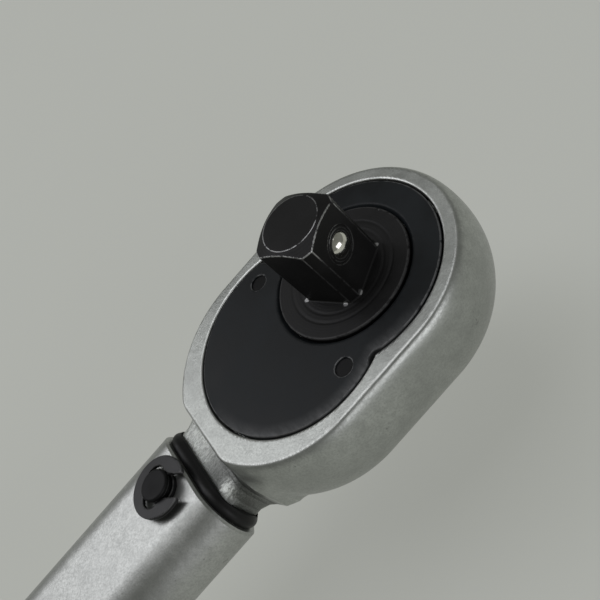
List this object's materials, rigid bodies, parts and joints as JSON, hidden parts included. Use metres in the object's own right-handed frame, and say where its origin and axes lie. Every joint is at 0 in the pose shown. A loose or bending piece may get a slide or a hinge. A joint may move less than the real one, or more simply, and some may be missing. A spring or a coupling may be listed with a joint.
{
  "type": "click torque wrench",
  "caption": "Click-type torque wrench: reversible ratchet head with a square drive and detent ball, pivoted in an oval-fronted tube, with a screw-set spring grip and lock knob.",
  "frame": {"origin": "on the drive axis, in the outer face of the cover plate", "axes": "+X towards the nose of the head (the tube and grip run along -X), +Z the way the square drive points, +Y completes a right-handed frame"},
  "size_m": [0.4738, 0.0496, 0.0428],
  "materials": {
    "head_steel": "fine blasted satin chrome, lightly scuffed",
    "tube_chrome": "satin chrome",
    "black_oxide": "black oxide, worn on edges",
    "bright_steel": "machined and ground",
    "spring_steel": "oiled drawn wire",
    "ball_chrome": "polished",
    "seal_rubber": "dusty satin",
    "nut_brass": "machined"
  },
  "bodies": {
    "tube": {"tube": "tube_chrome", "neck_seal": "seal_rubber", "pivot_pin": "black_oxide", "pin_clips": "black_oxide", "thread_nut": "nut_brass", "nut_screws": "black_oxide"},
    "head": {"ratchet_head": "head_steel", "cover_plate": "black_oxide", "cover_screws": "black_oxide", "pawl_pin": "bright_steel"},
    "anvil": {"drive_anvil": "black_oxide", "ball_spring": "spring_steel"},
    "ball": {"detent_ball": "ball_chrome"},
    "lever": {"reverse_lever": "black_oxide", "lever_ring": "spring_steel", "pawl_plunger": "bright_steel", "pawl_spring": "spring_steel"},
    "pawl": {"pawl": "bright_steel"},
    "plunger": {"spring_plunger": "bright_steel"},
    "tilt_block": {"tilt_block": "bright_steel"},
    "seat": {"spring_seat": "bright_steel", "thrust_balls": "ball_chrome", "main_spring": "spring_steel"},
    "grip": {"adjusting_screw": "bright_steel", "grip_sleeve": "tube_chrome", "grip_plug": "bright_steel", "plug_screws": "black_oxide"},
    "knob": {"lock_knob": "tube_chrome", "knob_ring": "spring_steel"}
  },
  "joints": [
    {"name": "head_break", "type": "hinge", "parent": "tube", "child": "head", "pos_m": [-0.0525, 0, -0.0109], "axis": [0, 0, 1], "range_deg": [-2, 0]},
    {"name": "drive_spin", "type": "hinge", "parent": "head", "child": "anvil", "pos_m": [0, 0, 0], "axis": [0, 0, 1], "continuous": true},
    {"name": "ball_press", "type": "slide", "parent": "anvil", "child": "ball", "axis": [-0.4762, 0.8793, 0], "range_m": [0, 0.0012], "deforming": ["ball_spring"]},
    {"name": "lever_turn", "type": "hinge", "parent": "head", "child": "lever", "pos_m": [-0.0289, 0, -0.0109], "axis": [0, 0, 1], "range_deg": [0, 60]},
    {"name": "pawl_rock", "type": "hinge", "parent": "head", "child": "pawl", "pos_m": [-0.0205, 0, -0.0109], "axis": [0, 0, 1], "range_deg": [-10, 0]},
    {"name": "plunger_slide", "type": "slide", "parent": "tube", "child": "plunger", "axis": [-1, 0, 0], "range_m": [0, 0.00179]},
    {"name": "block_tilt", "type": "hinge", "parent": "plunger", "child": "tilt_block", "pos_m": [-0.107, 0.0035, -0.0109], "axis": [0, 0, 1], "range_deg": [0, 12.8]},
    {"name": "seat_slide", "type": "slide", "parent": "tube", "child": "seat", "axis": [1, 0, 0], "range_m": [0, 0.035], "deforming": ["main_spring"]},
    {"name": "grip_turn", "type": "hinge", "parent": "seat", "child": "grip", "pos_m": [-0.3, 0, -0.0109], "axis": [1, 0, 0], "range_deg": [0, 5041]},
    {"name": "knob_turn", "type": "hinge", "parent": "grip", "child": "knob", "pos_m": [-0.44, 0, -0.0109], "axis": [1, 0, 0], "range_deg": [0, 120]}
  ],
  "couplings": [
    {"joint": "pawl_rock", "follows": "lever_turn", "ratio": -0.16667},
    {"joint": "plunger_slide", "follows": "head_break", "m_per_rad": -0.0511},
    {"joint": "block_tilt", "follows": "head_break", "ratio": -6.39},
    {"joint": "grip_turn", "follows": "seat_slide", "rad_per_m": 2513.3}
  ]
}
